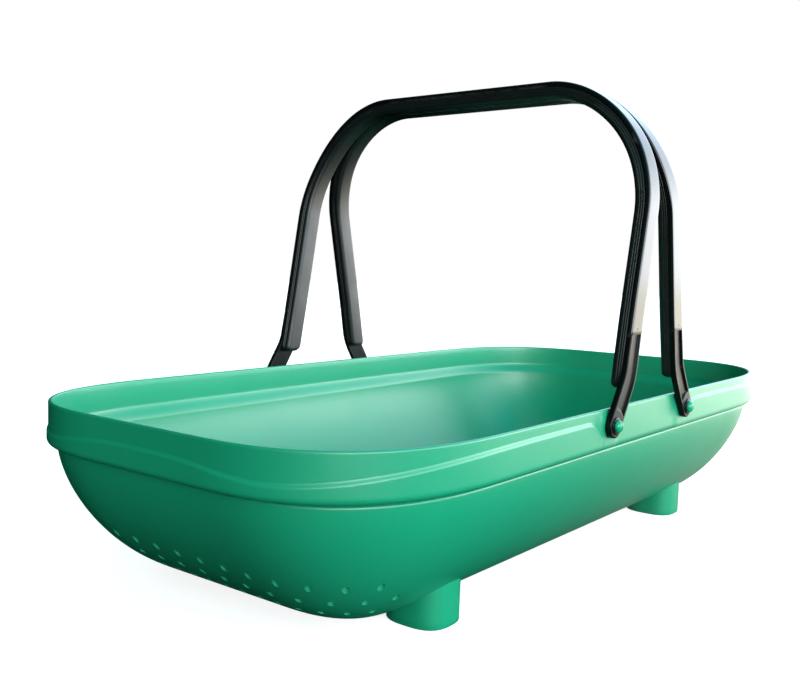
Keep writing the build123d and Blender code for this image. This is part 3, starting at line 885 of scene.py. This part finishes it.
# ------------------------------------------------------------------ world and lights
# soft lamps of the surround: azimuth and elevation in degrees, tightness, RGB strength
SOFT_LAMPS = [
    (-180, 5, 14, (0.00, 0.06, 0.03)), (-150, 5, 14, (1.38, 1.46, 1.46)),
    (-120, 5, 14, (8.16, 8.41, 8.51)), (-90, 5, 14, (3.54, 3.72, 3.84)),
    (-60, 5, 14, (3.34, 3.47, 3.60)), (-30, 5, 14, (4.14, 4.24, 4.37)),
    (0, 5, 14, (2.05, 2.08, 2.11)), (-180, 38, 7, (0.00, 0.18, 0.10)),
    (-120, 38, 7, (0.18, 0.57, 0.72)), (-60, 38, 7, (0.00, 0.55, 0.97)),
    (0, 38, 7, (0.45, 0.62, 0.85)), (15, 18, 14, (1.16, 1.68, 2.24)),
    (0, 90, 6, (0.00, 0.18, 0.24)), (-18, 2, 70, (1.94, 1.92, 1.92)),
    (-40, 3, 70, (2.82, 2.81, 2.83)),
]


def build_world():
    """Sum of soft lamps for lighting, plain white to the camera."""
    world = bpy.data.worlds.new("studio")
    bpy.context.scene.world = world
    tree = empty_tree(world)
    coords = add_node(tree, "TexCoord").outputs["Generated"]
    total = None
    for azimuth, elevation, tightness, rgb in SOFT_LAMPS:
        az, el = math.radians(azimuth), math.radians(elevation)
        aim = (math.cos(az) * math.cos(el), math.sin(az) * math.cos(el), math.sin(el))
        facing = add_node(tree, "VectorMath", {0: coords, 1: aim}, operation="DOT_PRODUCT")
        falloff = math_node(tree, "SUBTRACT", facing.outputs["Value"], 1.0)
        falloff = math_node(tree, "MULTIPLY", falloff, tightness)
        falloff = math_node(tree, "EXPONENT", falloff)
        lamp = add_node(tree, "VectorMath", {0: rgb, "Scale": falloff},
                        operation="SCALE").outputs[0]
        if total is None:
            total = lamp
        else:
            total = add_node(tree, "VectorMath", {0: total, 1: lamp}, operation="ADD").outputs[0]
    lighting = add_node(tree, "Background", {0: total, 1: 1.0})
    white = add_node(tree, "Background", {0: (1, 1, 1, 1), 1: 1.0})
    camera_ray = add_node(tree, "LightPath").outputs["Is Camera Ray"]
    chosen = add_node(tree, "MixShader", {0: camera_ray, 1: lighting.outputs[0],
                                          2: white.outputs[0]})
    add_node(tree, "OutputWorld", {0: chosen.outputs[0]})


def softbox(name, location, width, height, power, color=(1, 1, 1)):
    """Rectangular lamp aimed at the tub, hidden from the camera."""
    light = bpy.data.lights.new(name, "AREA")
    light.shape = "RECTANGLE"
    light.size, light.size_y = width, height
    light.energy = power
    light.color = color
    ob = bpy.data.objects.new(name, light)
    bpy.context.scene.collection.objects.link(ob)
    ob.location = location
    aim = Vector((0, 0, 0.1)) - Vector(location)
    ob.rotation_euler = aim.to_track_quat("-Z", "Y").to_euler()
    ob.visible_camera = False


# ------------------------------------------------------------------ camera
def build_camera(location, yaw, pitch, roll, lens):
    """Angles in radians; yaw turns from +X towards +Y. Lens in mm."""
    forward = Vector((math.cos(yaw) * math.cos(pitch), math.sin(yaw) * math.cos(pitch),
                      math.sin(pitch)))
    level_right = Vector((math.sin(yaw), -math.cos(yaw), 0.0))
    level_up = level_right.cross(forward)
    right = math.cos(roll) * level_right + math.sin(roll) * level_up
    up = -math.sin(roll) * level_right + math.cos(roll) * level_up
    data = bpy.data.cameras.new("camera")
    data.sensor_width = 36.0
    data.sensor_fit = "HORIZONTAL"
    data.lens = lens
    data.clip_start = 0.01
    camera = bpy.data.objects.new("camera", data)
    bpy.context.scene.collection.objects.link(camera)
    matrix = Matrix.Identity(4)
    for r in range(3):
        matrix[r] = (right[r], up[r], -forward[r], location[r])
    camera.matrix_world = matrix
    bpy.context.scene.camera = camera


# ------------------------------------------------------------------ assembly
tub = build_tub()
finishes = make_finishes()
for node_name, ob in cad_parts.items():
    dress(ob, finishes[kind_of(node_name)][0])
register(tub, "tub", "tub", "tub")

SIDES = ((-1, "left"), (1, "right"))
for side, label in SIDES:
    for kind, ob in build_handle(side, label).items():
        register(ob, kind, label + "_handle", f"{label}_bail_{kind}")
for sx, label in SIDES:
    for sy, depth_label in ((-1, "front"), (1, "rear")):
        pin_name = f"pin_{label}_{depth_label}"
        register(build_pin(sx, sy, pin_name), "pin", "tub", pin_name)

build_floor()
build_world()
softbox("key_softbox", location=(1.3, -2.0, 1.5), width=2.2, height=1.6, power=4.0)
softbox("top_softbox", location=(0.1, -0.1, 2.4), width=1.8, height=1.4, power=2.5,
        color=(0.94, 0.98, 1.0))

view = bpy.context.scene.view_settings
view.view_transform = "Standard"
view.look = "None"
view.exposure = 0.0
view.gamma = 1.0
build_camera(location=(-0.59439, -0.39852, 0.20577), yaw=0.6613, pitch=-0.0828, roll=0.0270,
             lens=42.1386345)
